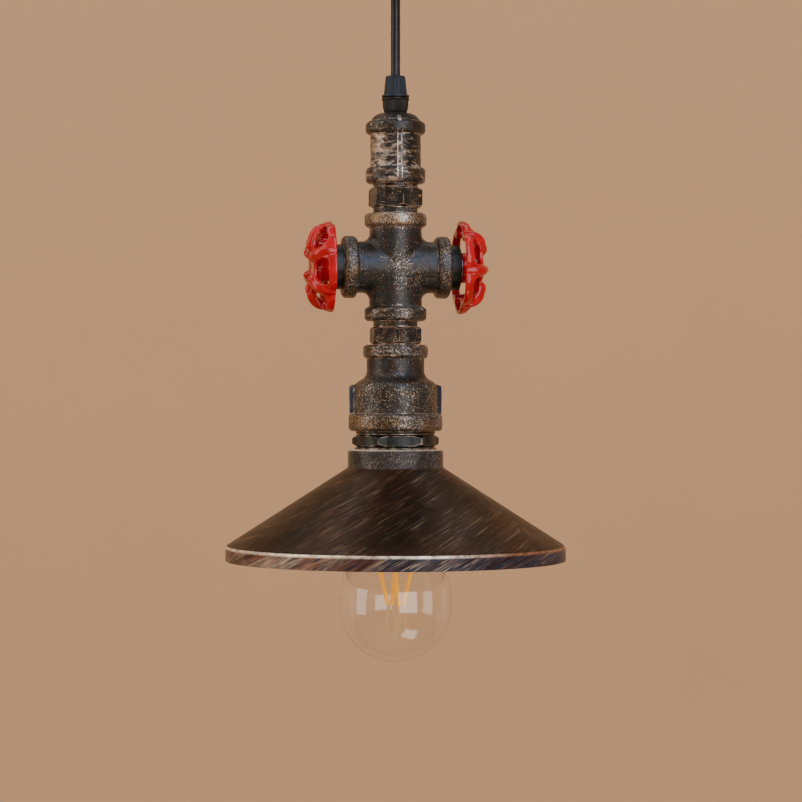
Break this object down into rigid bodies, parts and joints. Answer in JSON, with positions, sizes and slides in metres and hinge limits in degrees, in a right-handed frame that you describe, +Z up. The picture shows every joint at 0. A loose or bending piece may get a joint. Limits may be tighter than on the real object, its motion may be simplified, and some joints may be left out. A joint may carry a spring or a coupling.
{
  "type": "pendant light",
  "caption": "Hanging lamp made of banded pipe fittings, with red spoked handwheels, a shallow metal shade, a clear filament bulb, and a ceiling rose on a short cord.",
  "frame": {"origin": "middle of the ceiling rose's mounting face, which lies against the ceiling; the cord and the lamp hang straight below it", "axes": "+Z up out of the mounting face, away from the lamp; X along the axis of the handwheels, +X towards the right one; the view of the picture looks about along +Y"},
  "size_m": [0.18, 0.18, 0.3853],
  "materials": {
    "bronzed_iron": "dark bronze paint, brushed with gold at the edges",
    "bronzed_sheet": "dark bronze paint, fine brushed streaks",
    "blackened_iron": "blackened, worn bright at the edges",
    "steel": "zinc plated",
    "red_enamel": "glossy enamel",
    "black_plastic": "satin",
    "cord_jacket": "satin",
    "grommet_rubber": "matte",
    "connector_plastic": "matte",
    "brown_insulation": "smooth",
    "blue_insulation": "smooth",
    "brass": "plain",
    "lampholder_plastic": "moulded",
    "clear_glass": "clear",
    "black_glass": "opaque",
    "cap_metal": "plain",
    "amber_coating": "soft coating",
    "lead_wire": "plain"
  },
  "bodies": {
    "ceiling_rose": {"ceiling_canopy": "bronzed_sheet", "mounting_bar": "steel", "left_rose_screw": "steel", "right_rose_screw": "steel", "rose_grip": "black_plastic", "rose_grip_nut": "black_plastic", "rose_grip_screw": "steel", "cord_in_rose": "cord_jacket", "terminal_block": "connector_plastic", "live_terminal_screw": "steel", "neutral_terminal_screw": "steel", "rose_live_wire": "brown_insulation", "rose_neutral_wire": "blue_insulation"},
    "lamp": {"cord": "cord_jacket", "strain_relief_cap": "black_plastic", "strain_relief_base": "black_plastic", "strain_relief_grommet": "grommet_rubber", "strain_relief_nut": "black_plastic", "cord_in_lamp": "cord_jacket", "top_socket": "bronzed_iron", "upper_nipple": "blackened_iron", "cross_fitting": "bronzed_iron", "left_plug": "blackened_iron", "right_plug": "blackened_iron", "left_wheel_washer": "steel", "right_wheel_washer": "steel", "left_wheel_screw": "steel", "right_wheel_screw": "steel", "lower_nipple": "blackened_iron", "reducer_socket": "bronzed_iron", "hex_bushing": "blackened_iron", "shade": "bronzed_sheet", "shade_nut": "steel", "lampholder": "lampholder_plastic", "lampholder_shell": "brass", "centre_contact": "brass", "holder_bridge": "steel", "holder_nipple": "steel", "holder_nut": "steel", "live_wire": "brown_insulation", "neutral_wire": "blue_insulation"},
    "left_wheel": {"left_handwheel": "red_enamel"},
    "right_wheel": {"right_handwheel": "red_enamel"},
    "bulb": {"bulb_cap": "cap_metal", "bulb_insulator": "black_glass", "bulb_tip": "lead_wire", "bulb_glass": "clear_glass", "glass_stem": "clear_glass", "filament_1": "amber_coating", "filament_lead_1": "lead_wire", "filament_2": "amber_coating", "filament_lead_2": "lead_wire", "filament_3": "amber_coating", "filament_lead_3": "lead_wire", "filament_4": "amber_coating", "filament_lead_4": "lead_wire", "filament_link_1": "lead_wire", "filament_link_2": "lead_wire"}
  },
  "joints": [
    {"name": "lamp_swing", "type": "hinge", "parent": "ceiling_rose", "child": "lamp", "pos_m": [0, 0, -0.033], "axis": [0, 1, 0], "range_deg": [-30, 30]},
    {"name": "left_wheel_turn", "type": "hinge", "parent": "lamp", "child": "left_wheel", "pos_m": [0, 0, -0.17615], "axis": [1, 0, 0], "continuous": true},
    {"name": "right_wheel_turn", "type": "hinge", "parent": "lamp", "child": "right_wheel", "pos_m": [0, 0, -0.17615], "axis": [1, 0, 0], "continuous": true},
    {"name": "bulb_out", "type": "slide", "parent": "lamp", "child": "bulb", "axis": [0, 0, -1], "range_m": [0, 0.06]}
  ]
}
